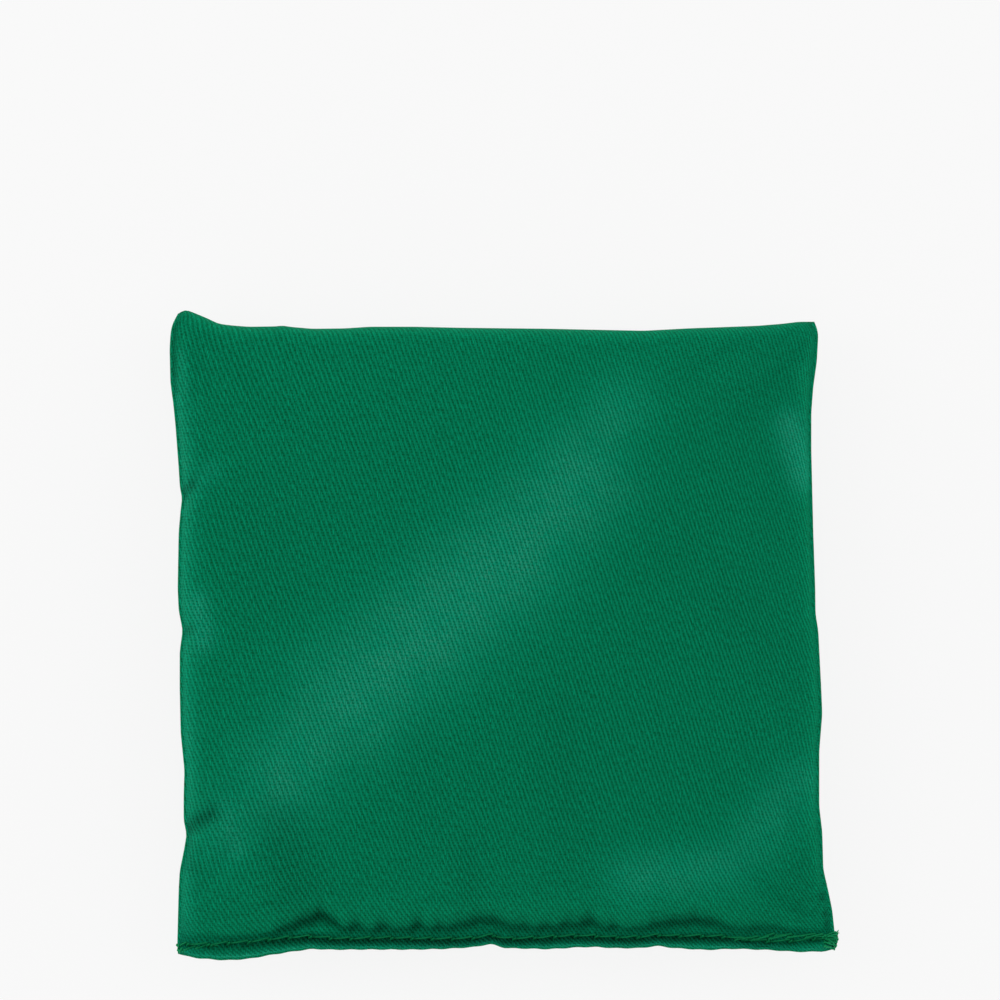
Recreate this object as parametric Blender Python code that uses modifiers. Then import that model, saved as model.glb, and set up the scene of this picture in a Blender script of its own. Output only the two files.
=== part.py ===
"""Toss bean bag: a folded and sewn twill cover, the threads of its three seams, and its loose filling.

The bag lies flat on its back. X runs across it, Y from the closing seam up to the top fold, Z up through it.
The origin is on the flat underside, at the middle of the bag. Lengths are in metres.
"""

import math

import bmesh
import bpy
from mathutils import Vector

MM = 0.001  # metres in a millimetre

# The filled bag
BAG_WIDTH = 130 * MM  # from side seam to side seam
BAG_LENGTH = 127 * MM  # from the top fold to the edge of the lower lip
SEAM_HEIGHT = 9 * MM  # of the seams' plane over the underside
CROWN_HEIGHT = 9.5 * MM  # of the front face over its seam folds
PRESSED_DEPTH = 2.5 * MM  # how far the underside would bulge if nothing pressed it flat
EDGE_ROLL = 42 * MM  # distance from an edge over which a face climbs to its full height

# The cloth
CLOTH_THICKNESS = 0.45 * MM  # cotton drill
FACE_GAP = 0.3 * MM  # between the turned-in allowances of front and back
HEM_GAP = 0.15 * MM  # between a face and its own turned-in hem
ALLOWANCE_WIDTH = 7 * MM  # turned in along a side seam
HEM_WIDTH = 7.5 * MM  # turned in at the closing seam
MITRE_GAP = 0.3 * MM  # each side of the corner's diagonal, where allowance and hem are clipped
CORNER_CLIP = 1.35 * MM  # height over the lip at which a side fold starts
LEAST_TURN = 0.2 * MM  # turned-in cloth narrower than this past its fold is clipped off
TOP_TUCK = 1.2 * MM  # how far an allowance's own fold stays under the top fold
TOP_ZONE = 12 * MM  # under the top fold, over which the allowances are drawn in to it

# The seams
THREAD_DIAMETER = 0.3 * MM
THREAD_CLEARANCE = 0.06 * MM  # round a thread, to the cloth and to the other thread
STITCH_LENGTH = 4 * MM
SIDE_STITCH_INSET = 1.6 * MM  # from the side fold to its stitches
SIDE_STITCH_TOP = 4 * MM  # from the top fold to the first side stitch
SIDE_STITCH_FOOT = 10 * MM  # from the lip to the last side stitch
LIP_WIDTH = 2.65 * MM  # from the lip's edge to the closing stitches
LIP_CLEAR = 1.55 * MM  # from those stitches to where the faces start to part
CLOSING_INSET = 4.4 * MM  # from a side to the first closing stitch
BACKTACK_OFFSET = 0.95 * MM  # from the closing stitches to the back-tack beside them
BACKTACK_STITCHES = 4
THREAD_TAIL = 2 * MM  # left lying on the cloth at a seam's end

# The filling
FILLING_CLEARANCE = 0.3 * MM
FILLING_INSET = 6 * MM  # from a side fold to the filling's edge, which the grains can't pass
OVERRUN = 6 * MM  # of a cutter past the cloth's edges

# Outward wander of each edge, as (share along the edge, share of the bag's width).
# The sides run from the top down, and the top and the lip from left to right.
LEFT_EDGE_SHARES = (
    (0, 0.0094),
    (0.05, 0.0141),
    (0.13, 0.008),
    (0.28, -0.004),
    (0.4, 0.0),
    (0.49, -0.0045),
    (0.6, -0.0015),
    (0.81, -0.011),
    (0.93, 0.0),
    (1, 0.0),
)
RIGHT_EDGE_SHARES = (
    (0, 0.0),
    (0.04, 0.003),
    (0.14, -0.008),
    (0.33, -0.005),
    (0.5, 0.003),
    (0.62, 0.0094),
    (0.72, 0.005),
    (0.86, 0.011),
    (0.96, 0.028),
    (1, 0.028),
)
TOP_EDGE_SHARES = (
    (0, 0.022),
    (0.015, 0.025),
    (0.05, 0.014),
    (0.09, 0.003),
    (0.2, -0.0015),
    (0.35, 0.0015),
    (0.5, 0.0),
    (0.7, -0.0047),
    (0.85, 0.0015),
    (0.95, 0.008),
    (1, 0.008),
)
LIP_EDGE_SHARES = (
    (0, 0.0),
    (0.05, 0.0125),
    (0.09, 0.014),
    (0.16, 0.005),
    (0.22, -0.0015),
    (0.45, -0.003),
    (0.49, -0.008),
    (0.53, -0.003),
    (0.75, -0.003),
    (0.9, 0.0),
    (1, 0.0),
)
WANDER_FADE = 3  # power by which an edge's wander dies out towards the far edge

# Lines of the cloth's grid. Insets are shares of the filling's inset, and hem rows of the hem's width.
SIDE_INSET_SHARES = (0.4, 1)
HALF_WIDTH_SHARES = (0.18, 0.34, 0.55, 0.78)
HEM_SHARES = (0.94, 1.6)
LENGTH_SHARES = (0.2, 0.35, 0.5, 0.65, 0.8)
TOP_ZONE_SHARES = (1, 0.5, 0.25, 0.1, 0.025)
FOLD_STEPS = 4  # facets round each turned edge
ROLL_POWER = 2.2  # shape of the faces' climb from an edge, where 2 is an ellipse
SLOT_STEPS = 12  # facets along the filling's slots

# Worked out from the sizes above
SIDE_FOLD_HEIGHT = 2 * CLOTH_THICKNESS + THREAD_DIAMETER + 2 * THREAD_CLEARANCE
LIP_FOLD_HEIGHT = 2 * CLOTH_THICKNESS + HEM_GAP
RISE_START = LIP_WIDTH + LIP_CLEAR
ALLOWANCE_LEVEL = FACE_GAP / 2 + CLOTH_THICKNESS  # of an allowance's inner face off the seams' plane
LIP_LEVEL = FACE_GAP / 2 + LIP_FOLD_HEIGHT  # of the lip's outer face off the seams' plane
BELLY_DEPTH = SEAM_HEIGHT - FACE_GAP / 2 - SIDE_FOLD_HEIGHT + PRESSED_DEPTH
THREAD_REACH = THREAD_DIAMETER + THREAD_CLEARANCE  # between the middles of two threads that pass
LEG_SPREAD = THREAD_REACH / math.sqrt(2)
HOLE_HALF_WIDTH = LEG_SPREAD + THREAD_DIAMETER / 2 + THREAD_CLEARANCE

FRONT, BACK = 1, -1
LEFT, RIGHT = -1, 1

TWILL_GREEN = (0.0, 0.162, 0.073, 1.0)
THREAD_GREEN = (0.001, 0.127, 0.045, 1.0)
PELLET_WHITE = (0.71, 0.7, 0.64, 1.0)


def eased(table, share):
    """The value at share of a table of (share, value), with a smooth step between its entries."""
    if share <= table[0][0]:
        return table[0][1]
    for (low, first), (high, second) in zip(table, table[1:]):
        if share <= high:
            step = (share - low) / (high - low)
            return first + (second - first) * step * step * (3 - 2 * step)
    return table[-1][1]


def place(across, along):
    """Plan position of the point that far from the left side and up from the lip, with the edges' wander."""
    x_share = min(max(across / BAG_WIDTH, 0), 1)
    y_share = min(max(along / BAG_LENGTH, 0), 1)
    left = eased(LEFT_EDGE_SHARES, 1 - y_share) * (1 - x_share) ** WANDER_FADE
    right = eased(RIGHT_EDGE_SHARES, 1 - y_share) * x_share**WANDER_FADE
    top = eased(TOP_EDGE_SHARES, x_share) * y_share**WANDER_FADE
    lip = eased(LIP_EDGE_SHARES, x_share) * (1 - y_share) ** WANDER_FADE
    x = across - BAG_WIDTH / 2 + (right - left) * BAG_WIDTH
    y = along - BAG_LENGTH / 2 + (top - lip) * BAG_WIDTH
    return x, y


def climb(distance):
    """Share of its full height that a face has reached at a distance from an edge."""
    left = 1 - min(max(distance / EDGE_ROLL, 0), 1)
    return math.sqrt(1 - left**ROLL_POWER)


def swell(across, along):
    """Share of its full height that a face has at a point, with all four edges drawing it in."""
    inset = SIDE_FOLD_HEIGHT / 2
    sides = climb(across - inset) * climb(BAG_WIDTH - across - inset)
    return sides * climb(along - RISE_START) * climb(BAG_LENGTH - along)


def fold_height(along):
    """Height of a face over its own turned-in cloth, which grows from the lip's to the side folds'."""
    step = min(max(along / RISE_START - 1, 0), 1)
    return LIP_FOLD_HEIGHT + (SIDE_FOLD_HEIGHT - LIP_FOLD_HEIGHT) * step


def face_height(face, across, along):
    """Z of a face's outer side. The back one is pressed flat where the bag lies."""
    off = FACE_GAP / 2 + fold_height(along)
    if face == FRONT:
        return SEAM_HEIGHT + off + CROWN_HEIGHT * swell(across, along)
    return max(SEAM_HEIGHT - off - BELLY_DEPTH * swell(across, along), 0)


def half_circle(height):
    """(inset, lift) round a turned edge of that height, from the turned-in side to the outer side."""
    turns = [math.pi * step / FOLD_STEPS for step in range(FOLD_STEPS + 1)]
    return [(height / 2 * (1 - math.sin(turn)), (1 - math.cos(turn)) / 2) for turn in turns]


def cover_columns():
    """(side, inset from that side, lift) of each line of the cover that runs from lip to lip."""
    fold = half_circle(SIDE_FOLD_HEIGHT)
    flats = [share * FILLING_INSET for share in SIDE_INSET_SHARES]
    flats += [share * BAG_WIDTH / 2 for share in HALF_WIDTH_SHARES]
    half = [(ALLOWANCE_WIDTH, 0)] + fold + [(inset, 1) for inset in flats]
    left = [(LEFT, inset, lift) for inset, lift in half]
    right = [(RIGHT, inset, lift) for inset, lift in reversed(half)]
    return left + [(LEFT, BAG_WIDTH / 2, 1)] + right


def cover_rows():
    """(face, height over the lip, lift) of each line that runs across, from the front hem to the back one."""
    heights = [CORNER_CLIP, RISE_START] + [share * HEM_WIDTH for share in HEM_SHARES]
    heights += [share * BAG_LENGTH for share in LENGTH_SHARES]
    heights += [BAG_LENGTH - share * TOP_ZONE for share in TOP_ZONE_SHARES]
    half = [(HEM_WIDTH, 0)] + half_circle(LIP_FOLD_HEIGHT) + [(height, 1) for height in heights]
    front = [(FRONT, along, lift) for along, lift in half]
    back = [(BACK, along, lift) for along, lift in reversed(half)]
    return front + [(FRONT, BAG_LENGTH, 1)] + back


def turned_allowance(along):
    """Width of a side allowance at a height over the lip, narrowed by the mitre to the hem."""
    return min(ALLOWANCE_WIDTH, along - MITRE_GAP)


def turned_hem(inset):
    """Width of the hem at a distance from a side, narrowed by the mitre to the allowance."""
    return min(HEM_WIDTH, inset - MITRE_GAP)


def is_allowance_end(column):
    return column[2] == 0 and column[1] > SIDE_FOLD_HEIGHT / 2


def is_hem_end(row):
    return row[2] == 0 and row[1] > LIP_FOLD_HEIGHT / 2


def clipped_away(column, row):
    """Whether the cloth is cut off there: at a fold's corner, or where a mitre leaves next to nothing."""
    if column[2] < 1:
        low = row[2] < 1 or row[1] < CORNER_CLIP
        width = turned_allowance(row[1]) - SIDE_FOLD_HEIGHT / 2
        return low or (is_allowance_end(column) and width < LEAST_TURN)
    return is_hem_end(row) and turned_hem(column[1]) - LIP_FOLD_HEIGHT / 2 < LEAST_TURN


def cover_point(column, row):
    """Position of the cover's outer side where two of its lines cross."""
    side, inset, side_lift = column
    face, along, lip_lift = row
    if is_allowance_end(column):
        inset = turned_allowance(along)
    if is_hem_end(row):
        along = turned_hem(inset)
    under_top = min((BAG_LENGTH - along) / TOP_ZONE, 1)
    tuck = TOP_TUCK * (1 - side_lift) * (1 - under_top)
    across = inset if side == LEFT else BAG_WIDTH - inset
    x, y = place(across, along - tuck)
    if along == BAG_LENGTH:
        return Vector((x, y, SEAM_HEIGHT))
    lift = min(side_lift, lip_lift)
    if lift == 1:
        return Vector((x, y, face_height(face, across, along)))
    return Vector((x, y, SEAM_HEIGHT + face * (FACE_GAP / 2 + lift * fold_height(along))))


def add_grid(mesh, columns, rows, point, skip=None):
    """Adds a grid whose lines are the given columns and rows to a bmesh, each crossing set by point().

    Its faces look up where the columns run along X and the rows along Y.
    """
    made = bmesh.ops.create_grid(mesh, x_segments=len(columns) - 1, y_segments=len(rows) - 1, size=1)
    missing = []
    for vert in made["verts"]:
        column = columns[round((vert.co.x + 1) / 2 * (len(columns) - 1))]
        row = rows[round((vert.co.y + 1) / 2 * (len(rows) - 1))]
        if skip and skip(column, row):
            missing.append(vert)
        else:
            vert.co = point(column, row)
    bmesh.ops.delete(mesh, geom=missing, context="VERTS")


def add_object(name, data, collection):
    thing = bpy.data.objects.new(name, data)
    collection.objects.link(thing)
    return thing


def mesh_object(name, mesh, collection):
    data = bpy.data.meshes.new(name)
    mesh.to_mesh(data)
    mesh.free()
    return add_object(name, data, collection)


def finish_material(name, colour, roughness):
    material = bpy.data.materials.new(name)
    material.use_nodes = True
    shader = material.node_tree.nodes["Principled BSDF"]
    shader.inputs["Base Color"].default_value = colour
    shader.inputs["Roughness"].default_value = roughness
    shader.inputs["Metallic"].default_value = 0
    return material


def cut(thing, cutter):
    modifier = thing.modifiers.new(cutter.name, "BOOLEAN")
    modifier.operation = "DIFFERENCE"
    modifier.object = cutter


def as_cutter(thing):
    thing.hide_render = True
    thing.display_type = "WIRE"
    return thing


def even_steps(start, end, length):
    """Distances from start to end in whole stitches of about that length."""
    count = max(round((end - start) / length), 1)
    return [start + (end - start) * step / count for step in range(count + 1)]


def side_stitches(side):
    """Needle holes of a side seam, from the top down."""
    across = SIDE_STITCH_INSET if side == LEFT else BAG_WIDTH - SIDE_STITCH_INSET
    drops = even_steps(SIDE_STITCH_TOP, BAG_LENGTH - SIDE_STITCH_FOOT, STITCH_LENGTH)
    return [Vector(place(across, BAG_LENGTH - drop)) for drop in drops]


def closing_stitches():
    """Needle holes of the closing seam, left to right, then back beside themselves for the back-tack."""
    steps = even_steps(CLOSING_INSET, BAG_WIDTH - CLOSING_INSET, STITCH_LENGTH)
    forward = [Vector(place(across, LIP_WIDTH)) for across in steps]
    stitch = steps[1] - steps[0]
    low = LIP_WIDTH - BACKTACK_OFFSET
    count = min(BACKTACK_STITCHES, len(steps) - 1)
    back = [Vector(place(steps[-1] - stitch * (step + 0.5), low)) for step in range(count)]
    return forward, back


def stitch_frames(holes):
    """(hole, direction of sewing, direction to its left) for each needle hole, as plan vectors."""
    frames = []
    for index, hole in enumerate(holes):
        before = holes[max(index - 1, 0)]
        after = holes[min(index + 1, len(holes) - 1)]
        ahead = (after - before).normalized()
        frames.append((hole, ahead, Vector((-ahead.y, ahead.x))))
    return frames


def at_height(flat, height):
    return Vector((flat.x, flat.y, SEAM_HEIGHT + height))


def lockstitch(runs, level):
    """Paths of the needle thread and the bobbin thread along runs of needle holes.

    The threads lie on the two outer sides of the cloth, level away from the seams' plane. In each hole the
    needle thread's loop passes under the bobbin thread's, and both loops go back to their own side.
    """
    needle, bobbin = [], []
    on_top = level + THREAD_CLEARANCE + THREAD_DIAMETER / 2
    crossing = THREAD_REACH / 2
    frames = [frame for run in runs for frame in stitch_frames(run)]
    for hole, ahead, left in frames:
        into, out = LEG_SPREAD * (left - ahead), LEG_SPREAD * (ahead - left)
        needle += [at_height(hole + into, on_top), at_height(hole + into, -crossing)]
        needle += [at_height(hole + out, -crossing), at_height(hole + out, on_top)]
        into, out = LEG_SPREAD * (-left - ahead), LEG_SPREAD * (ahead + left)
        bobbin += [at_height(hole + into, -on_top), at_height(hole + into, crossing)]
        bobbin += [at_height(hole + out, crossing), at_height(hole + out, -on_top)]
    for path in (needle, bobbin):
        start = THREAD_TAIL * frames[0][1].to_3d()
        end = THREAD_TAIL * frames[-1][1].to_3d()
        path.insert(0, path[0] - start)
        path.append(path[-1] + end)
    return needle, bobbin


def thread(name, path, colour_material, sides_resolution, collection):
    """A sewing thread along a path, as a round curve with closed ends."""
    curve = bpy.data.curves.new(name, "CURVE")
    curve.dimensions = "3D"
    curve.bevel_depth = THREAD_DIAMETER / 2
    curve.bevel_resolution = sides_resolution
    curve.use_fill_caps = True
    spline = curve.splines.new("POLY")
    spline.points.add(len(path) - 1)
    for point, position in zip(spline.points, path):
        point.co = (*position, 1)
    curve.materials.append(colour_material)
    return add_object(name, curve, collection)


def needle_hole_cutter(name, runs, level, collection):
    """Square prisms at the needle holes, which reach level to both sides of the seams' plane."""
    mesh = bmesh.new()
    for hole, ahead, left in (frame for run in runs for frame in stitch_frames(run)):
        made = bmesh.ops.create_cube(mesh, size=2)
        for vert in made["verts"]:
            flat = hole + HOLE_HALF_WIDTH * (vert.co.x * ahead + vert.co.y * left)
            vert.co = at_height(flat, level * vert.co.z)
    return as_cutter(mesh_object(name, mesh, collection))


def make_cover(runs_by_cutter, material, collection, cutters):
    """One piece of cloth, hemmed at both ends, folded over the top and turned in along both sides."""
    mesh = bmesh.new()
    add_grid(mesh, cover_columns(), cover_rows(), cover_point, clipped_away)
    cover = mesh_object("cover", mesh, collection)
    cover.data.materials.append(material)
    cloth = cover.modifiers.new("cloth thickness", "SOLIDIFY")
    cloth.thickness = CLOTH_THICKNESS
    cloth.offset = -1
    for name, (runs, level) in runs_by_cutter.items():
        cut(cover, needle_hole_cutter(name, runs, level, cutters))
    return cover


def filling_slot(name, across, along, level, collection):
    """A slab bent like the bag's edges, which keeps the filling off turned-in cloth of that level."""
    steps = range(SLOT_STEPS + 1)
    columns = [across[0] + (across[1] - across[0]) * step / SLOT_STEPS for step in steps]
    rows = [along[0] + (along[1] - along[0]) * step / SLOT_STEPS for step in steps]
    reach = level + FILLING_CLEARANCE
    low = SEAM_HEIGHT - reach
    mesh = bmesh.new()
    add_grid(mesh, columns, rows, lambda column, row: Vector((*place(column, row), low)))
    raised = bmesh.ops.extrude_face_region(mesh, geom=mesh.faces[:])["geom"]
    for vert in (part for part in raised if isinstance(part, bmesh.types.BMVert)):
        vert.co.z = SEAM_HEIGHT + reach
    bmesh.ops.recalc_face_normals(mesh, faces=mesh.faces)
    return as_cutter(mesh_object(name, mesh, collection))


def make_filling(material, collection, cutters):
    """The heap of grains as one solid that keeps a clearance inside the cover."""
    columns = [line for line in cover_columns() if line[2] == 1 and line[1] >= FILLING_INSET]
    mesh = bmesh.new()
    for face in (FRONT, BACK):
        lines = [line for line in cover_rows() if line[0] == face and line[2] == 1]
        rows = [line for line in lines if RISE_START <= line[1] < BAG_LENGTH]
        add_grid(mesh, columns, rows, cover_point)
    mesh.normal_update()
    inset = CLOTH_THICKNESS + FILLING_CLEARANCE
    moved = [(vert, vert.co - vert.normal * inset) for vert in mesh.verts]
    for vert, position in moved:
        vert.co = position
    rims = [edge for edge in mesh.edges if edge.is_boundary]
    bmesh.ops.bridge_loops(mesh, edges=rims)
    bmesh.ops.recalc_face_normals(mesh, faces=mesh.faces)
    filling = mesh_object("filling", mesh, collection)
    filling.data.materials.append(material)
    deep = ALLOWANCE_WIDTH + FILLING_CLEARANCE
    high = HEM_WIDTH + FILLING_CLEARANCE
    whole_length = (-OVERRUN, BAG_LENGTH + OVERRUN)
    whole_width = (-OVERRUN, BAG_WIDTH + OVERRUN)
    slots = (
        ("left allowance slot", (-OVERRUN, deep), whole_length, ALLOWANCE_LEVEL),
        ("right allowance slot", (BAG_WIDTH - deep, BAG_WIDTH + OVERRUN), whole_length, ALLOWANCE_LEVEL),
        ("hem slot", whole_width, (-OVERRUN, high), LIP_LEVEL),
    )
    for name, across, along, level in slots:
        cut(filling, filling_slot(name, across, along, level, cutters))
    return filling


def new_collection(name):
    collection = bpy.data.collections.new(name)
    bpy.context.scene.collection.children.link(collection)
    return collection


def build():
    for thing in list(bpy.data.objects):
        bpy.data.objects.remove(thing)
    bag = new_collection("toss_bean_bag")
    cutters = new_collection("cutters")
    twill = finish_material("green cotton twill", TWILL_GREEN, 0.75)
    polyester = finish_material("green polyester thread", THREAD_GREEN, 0.5)
    pellets = finish_material("polyethylene pellets", PELLET_WHITE, 0.4)

    side_seams = {LEFT: [side_stitches(LEFT)], RIGHT: [side_stitches(RIGHT)]}
    closing_seam = closing_stitches()
    allowance_reach = ALLOWANCE_LEVEL + THREAD_CLEARANCE
    holes = {
        "left needle holes": (side_seams[LEFT], allowance_reach),
        "right needle holes": (side_seams[RIGHT], allowance_reach),
        "closing needle holes": (closing_seam, LIP_LEVEL + THREAD_DIAMETER),
    }
    make_cover(holes, twill, bag, cutters)
    for name, side in (("left", LEFT), ("right", RIGHT)):
        needle, bobbin = lockstitch(side_seams[side], ALLOWANCE_LEVEL)
        thread(f"{name}_seam_needle_thread", needle, polyester, 0, bag)
        thread(f"{name}_seam_bobbin_thread", bobbin, polyester, 0, bag)
    needle, bobbin = lockstitch(closing_seam, LIP_LEVEL)
    thread("closing_seam_needle_thread", needle, polyester, 1, bag)
    thread("closing_seam_bobbin_thread", bobbin, polyester, 1, bag)
    make_filling(pellets, bag, cutters)


build()
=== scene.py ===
import math

import bmesh
import bpy
import numpy as np
from mathutils import Euler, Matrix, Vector, noise


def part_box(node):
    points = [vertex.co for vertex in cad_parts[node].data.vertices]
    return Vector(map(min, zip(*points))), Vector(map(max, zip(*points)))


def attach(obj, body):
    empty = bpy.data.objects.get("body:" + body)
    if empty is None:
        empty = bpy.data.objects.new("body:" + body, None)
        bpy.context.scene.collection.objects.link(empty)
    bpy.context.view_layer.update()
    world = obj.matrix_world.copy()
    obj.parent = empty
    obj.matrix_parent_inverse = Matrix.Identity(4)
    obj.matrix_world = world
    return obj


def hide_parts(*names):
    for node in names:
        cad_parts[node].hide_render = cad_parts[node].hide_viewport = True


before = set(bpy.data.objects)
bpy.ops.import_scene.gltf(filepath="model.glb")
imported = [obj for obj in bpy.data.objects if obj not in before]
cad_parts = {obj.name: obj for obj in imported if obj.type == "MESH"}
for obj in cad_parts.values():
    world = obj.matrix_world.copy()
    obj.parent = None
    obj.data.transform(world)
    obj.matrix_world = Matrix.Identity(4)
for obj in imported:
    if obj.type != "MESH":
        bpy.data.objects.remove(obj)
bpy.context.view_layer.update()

# The cover: one oblong of green cotton drill, hemmed at both ends, folded across the top, sewn down both
# sides inside out and turned. Loose filling swells it, and its seams hold the edges in.

MM = 0.001
COVER_WIDTH = 130 * MM  # from side seam to side seam
COVER_LENGTH = 127 * MM  # from the top fold to the edge of the lip below the closing seam
CLOTH_THICKNESS = 0.45 * MM
CLOTH_GAP = 0.3 * MM  # between the turned-in cloth of the front and of the back
ALLOWANCE_WIDTH = 7 * MM  # turned in along the sides
HEM_WIDTH = 7.5 * MM  # turned in at the closing seam
TOP_CLIP = 9 * MM  # under the top fold, over which the allowances are trimmed away
MITRE_GAP = 0.3 * MM  # each side of the corner's diagonal, where allowance and hem are clipped
SIDE_FOLD_HEIGHT = 1.3 * MM  # of each face's turned edge down the sides
LIP_FOLD_HEIGHT = 1.3 * MM  # of each face's hem, which is loosely folded and puffs up
LIP_WIDTH = 2.65 * MM  # about how far the closing stitches are from the lip's edge
LIP_CLEAR = 0.35 * MM  # from those stitches to where the faces part at the least
TOP_ROUNDING = 2.6 * MM  # under the top fold, over which the turned sides close up
TURNED_LIFT = 0.4  # share of a side fold's height, under which its cloth is trimmed away at the top fold
WALL_SHARE = 0.38  # of a face's height, that it climbs close to its other edges
LIP_WALL_SHARE = 0.5  # of a face's height, that it climbs close to the closing seam
WALL_ROLL = 5.5 * MM  # distance from an edge over which it climbs that share
EDGE_ROLL = 55 * MM  # distance over which it climbs the rest
ROLL_POWER = 2.2  # shape of both climbs, where 2 is an ellipse
PUCKER_FADE = 1.5 * MM  # over which the shape of a pucker dies out above it
EDGE_FADE = 6  # power by which an edge's wander dies out towards the far edge
EDGE_BLUR = 0.8 * MM  # over which the corners of the edge tables are rounded
EDGE_BLUR_SPAN = 3  # times that reach, which is taken in to each side
EDGE_BLUR_STEPS = 4  # over that reach
EDGE_STEPS = 1024  # along an edge, at which its table is read

STITCH_LENGTH = 4.14 * MM
FIRST_HOLE = 2.04 * MM  # from the left side to the first needle hole of the closing seam
GROOVE_DEPTH = 0.7 * MM  # how far the closing stitches sink into the lip
HOLE_PULL_SHARE = 0.5  # of that depth, by which it is deeper at a needle hole and shallower between two
GROOVE_DROP = 0.65 * MM  # from the stitches down to the bottom of their groove
GROOVE_HALF_WIDTH = 0.7 * MM
LIP_PUFF = 1.3 * MM  # how far the lip rises between those stitches and its edge
LIP_SCALLOP = 0.07 * MM  # how far each needle hole draws in the lip's edge
FAN_START = 2 * MM  # height of a pucker, from which on the cloth below it rises
FAN_PUFF_SHARE = 0.6  # of its height beyond that, by which it rises
UNEVEN_SHARE = 0.1  # by which the puckers' heights differ along the seam
UNEVEN_WAVES = (1 * MM, 1.7 * MM)  # lengths over 2 pi of the two waves that make them differ
PUCKER_SOFTNESS = 1.8 * MM  # how gradually the cloth starts to climb above the puckers
PUCKER_BLUR = 0.9 * MM  # over which the peaks of the puckers are rounded, both ways
PUCKER_BLUR_STEPS = 5  # places that are averaged for that
PUCKER_MERGE = 3  # power with which puckers that meet run together
PUCKER_FLOOR = 0.75 * MM  # how high the cloth is held down between two puckers
LUMP_GAIN = 6  # times a face's swell, up to which its lumps and creases grow with it
GRAIN_LUMP = 0.07 * MM  # how far the filling's grains press out the cloth
GRAIN_SPAN = 5.5 * MM  # from one such lump to the next

seam_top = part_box("closing_seam_needle_thread")[1].z
seam_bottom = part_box("closing_seam_bobbin_thread")[0].z
SEAM_HEIGHT = (seam_top + seam_bottom) / 2
CROWN_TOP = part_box("cover")[1].z
PRESSED_RISE = 1.9 * MM  # how much the filling lifts the crown when it presses the cloth
CROWN_HEIGHT = CROWN_TOP - SEAM_HEIGHT - CLOTH_GAP / 2 - SIDE_FOLD_HEIGHT - PRESSED_RISE
PRESSED_DEPTH = 2.5 * MM  # how far the underside would bulge if nothing pressed it flat
BELLY_DEPTH = SEAM_HEIGHT - CLOTH_GAP / 2 - SIDE_FOLD_HEIGHT + PRESSED_DEPTH

# Outward wander of each edge, as (share along the edge, share of the cover's width).
# The sides run from the top down, and the top and the lip from left to right.
LEFT_EDGE_SHARES = (
    (0, 0.0), (0.005, 0.005), (0.012, 0.009), (0.025, 0.0125), (0.05, 0.0143), (0.1, 0.013),
    (0.133, 0.0083), (0.165, 0.005), (0.23, 0.0), (0.262, -0.002), (0.276, -0.0055), (0.295, -0.0031),
    (0.33, 0.0), (0.42, 0.0016), (0.455, 0.0), (0.486, -0.0062), (0.52, -0.0016), (0.58, -0.0016),
    (0.65, -0.0031), (0.71, -0.009), (0.75, -0.0078), (0.79, -0.0078), (0.812, -0.0125), (0.84, -0.0078),
    (0.87, -0.0016), (0.9, 0.0), (0.985, 0.0022), (0.995, 0.0018), (1, 0.001),
)
RIGHT_EDGE_SHARES = (
    (0, -0.004), (0.007, 0.001), (0.02, 0.0031), (0.06, 0.001), (0.1, -0.0047), (0.14, -0.0078),
    (0.2, -0.0078), (0.33, -0.0047), (0.42, -0.0016), (0.46, -0.0012), (0.486, 0.0031), (0.58, 0.0078),
    (0.62, 0.0094), (0.68, 0.0047), (0.77, 0.0047), (0.81, 0.0094), (0.87, 0.011), (0.905, 0.0188),
    (0.936, 0.025), (0.97, 0.0285), (0.985, 0.0298), (1, 0.0266),
)
TOP_EDGE_SHARES = (
    (0, 0.02), (0.006, 0.027), (0.0115, 0.0285), (0.022, 0.0248), (0.045, 0.0152), (0.063, 0.0063),
    (0.085, 0.0035), (0.11, 0.0016), (0.155, 0.0022), (0.164, 0.0038), (0.173, 0.0016), (0.21, -0.0016),
    (0.26, -0.001), (0.3, 0.0016), (0.37, 0.0016), (0.44, 0.0), (0.58, -0.0016), (0.65, -0.0031),
    (0.73, -0.0047), (0.8, -0.001), (0.86, 0.0012), (0.91, 0.0031), (0.95, 0.0063), (0.975, 0.0094),
    (1, 0.0094),
)
LIP_EDGE_SHARES = (
    (0, 0.0035), (0.006, 0.0072), (0.02, 0.0103), (0.0345, 0.0125), (0.074, 0.0155), (0.11, 0.0132),
    (0.14, 0.0078), (0.18, 0.0014), (0.21, -0.0025), (0.24, -0.0012), (0.3, -0.0016), (0.37, -0.0014),
    (0.42, -0.0026), (0.465, -0.0055), (0.489, -0.0107), (0.51, -0.0038), (0.58, -0.0021),
    (0.63, -0.0053), (0.655, -0.0055), (0.68, -0.0036), (0.72, -0.0037), (0.747, -0.0075),
    (0.77, -0.0038), (0.82, -0.0008), (0.86, -0.0027), (0.91, -0.0009), (0.95, 0.0022), (0.985, 0.0018),
    (1, -0.002),
)
# The closing stitches, as (share across, height over the lip's edge as a share of the cover's width).
SEAM_LINE_SHARES = (
    (0, 0.0188), (0.036, 0.0212), (0.079, 0.0262), (0.138, 0.0253), (0.196, 0.0224), (0.226, 0.0195),
    (0.268, 0.0184), (0.329, 0.0199), (0.395, 0.0179), (0.463, 0.0157), (0.49, 0.0163), (0.528, 0.0168),
    (0.596, 0.0212), (0.661, 0.0184), (0.751, 0.019), (0.8135, 0.0235), (0.843, 0.0218), (0.864, 0.0181),
    (0.885, 0.0152), (0.902, 0.0146), (0.928, 0.0157), (0.959, 0.0205), (0.985, 0.0218), (1, 0.0222),
)
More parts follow.
